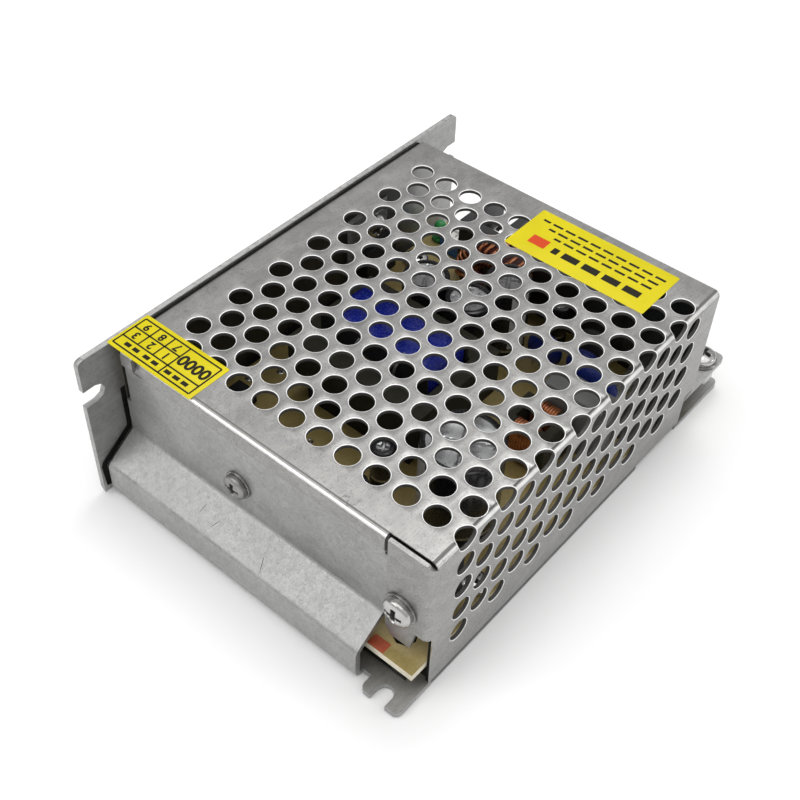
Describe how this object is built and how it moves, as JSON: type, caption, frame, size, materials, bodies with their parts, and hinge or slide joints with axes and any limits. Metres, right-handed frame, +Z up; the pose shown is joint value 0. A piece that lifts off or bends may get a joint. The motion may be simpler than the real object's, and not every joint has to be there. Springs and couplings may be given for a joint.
{
  "type": "mesh case switching power supply",
  "caption": "Folded aluminium tray with a perforated steel cover over a switching converter board, with a screw terminal block at the open end.",
  "frame": {"origin": "centre of the case outline on the underside of the base", "axes": "+X along the case towards the terminal end, +Y towards the tall side wall, +Z up"},
  "size_m": [0.11, 0.078, 0.0361],
  "materials": {
    "chassis_aluminium": "bead-dull mill finish, faint scratches",
    "cover_steel": "galvanised sheet, bright punched rims",
    "screw_steel": "nickel plated",
    "dark_steel": "dull zinc",
    "board_laminate": "tan phenolic laminate with pale cut edges",
    "film_black": "thin dark film",
    "black_plastic": "moulded, satin",
    "tinned_metal": "tinned",
    "nylon_white": "moulded",
    "pad_grey": "silicone sheet",
    "trimmer_blue": "moulded",
    "lamp_green": "tinted clear resin",
    "fuse_glass": "clear",
    "disc_black": "dipped resin",
    "disc_blue": "dipped resin",
    "case_grey": "moulded box",
    "ferrite": "sintered, dull",
    "copper_wire": "enamelled",
    "can_aluminium": "drawn can",
    "sleeve_black": "shrunk sleeve",
    "tape_blue": "polyester tape",
    "resistor_brown": "lacquer",
    "label_yellow": "printed film"
  },
  "bodies": {
    "supply": {"chassis": "chassis_aluminium", "mesh_cover": "cover_steel", "cover_screw": "screw_steel", "transistor_screw": "dark_steel", "ledge_screw": "screw_steel", "screw_washers": "screw_steel", "ledge_nut": "screw_steel", "circuit_board": "board_laminate", "insulating_film": "film_black", "board_spacers": "tinned_metal", "board_screws": "screw_steel", "transistor_bodies": "black_plastic", "transistor_tabs": "tinned_metal", "clamp_bar": "dark_steel", "insulating_pads": "pad_grey", "rectifier_body": "black_plastic", "rectifier_tab": "tinned_metal", "rectifier_screw": "screw_steel", "terminal_housing": "black_plastic", "terminal_contacts": "tinned_metal", "trimmer_body": "trimmer_blue", "status_lamp": "lamp_green", "fuse_tube": "fuse_glass", "fuse_caps": "tinned_metal", "inrush_limiter": "disc_black", "surge_disc": "disc_blue", "safety_capacitors": "disc_blue", "film_capacitor": "case_grey", "line_choke_core": "ferrite", "line_choke_coils": "copper_wire", "bridge_rectifier": "black_plastic", "input_capacitor_can": "can_aluminium", "input_capacitor_sleeve": "sleeve_black", "output_capacitor_cans": "can_aluminium", "output_capacitor_sleeves": "sleeve_black", "transformer_core": "ferrite", "transformer_bobbin": "black_plastic", "transformer_winding": "tape_blue", "output_choke_core": "ferrite", "output_choke_winding": "copper_wire", "control_chip": "black_plastic", "optocoupler": "black_plastic", "resistors": "resistor_brown", "small_capacitors": "sleeve_black", "date_label": "label_yellow", "top_label": "label_yellow"},
    "terminal_1": {"terminal_screw_1": "screw_steel", "terminal_clamp_1": "tinned_metal"},
    "terminal_2": {"terminal_screw_2": "screw_steel", "terminal_clamp_2": "tinned_metal"},
    "terminal_3": {"terminal_screw_3": "screw_steel", "terminal_clamp_3": "tinned_metal"},
    "terminal_4": {"terminal_screw_4": "screw_steel", "terminal_clamp_4": "tinned_metal"},
    "terminal_5": {"terminal_screw_5": "screw_steel", "terminal_clamp_5": "tinned_metal"},
    "trimmer": {"trimmer_rotor": "nylon_white"}
  },
  "joints": [
    {"name": "terminal_1_lift", "type": "slide", "parent": "supply", "child": "terminal_1", "axis": [0, 0, 1], "range_m": [0, 0.003]},
    {"name": "terminal_2_lift", "type": "slide", "parent": "supply", "child": "terminal_2", "axis": [0, 0, 1], "range_m": [0, 0.003]},
    {"name": "terminal_3_lift", "type": "slide", "parent": "supply", "child": "terminal_3", "axis": [0, 0, 1], "range_m": [0, 0.003]},
    {"name": "terminal_4_lift", "type": "slide", "parent": "supply", "child": "terminal_4", "axis": [0, 0, 1], "range_m": [0, 0.003]},
    {"name": "terminal_5_lift", "type": "slide", "parent": "supply", "child": "terminal_5", "axis": [0, 0, 1], "range_m": [0, 0.003]},
    {"name": "trimmer_turn", "type": "hinge", "parent": "supply", "child": "trimmer", "pos_m": [0.046, 0.0278, 0.01062], "axis": [0, 0, 1], "range_deg": [-130, 130]}
  ]
}
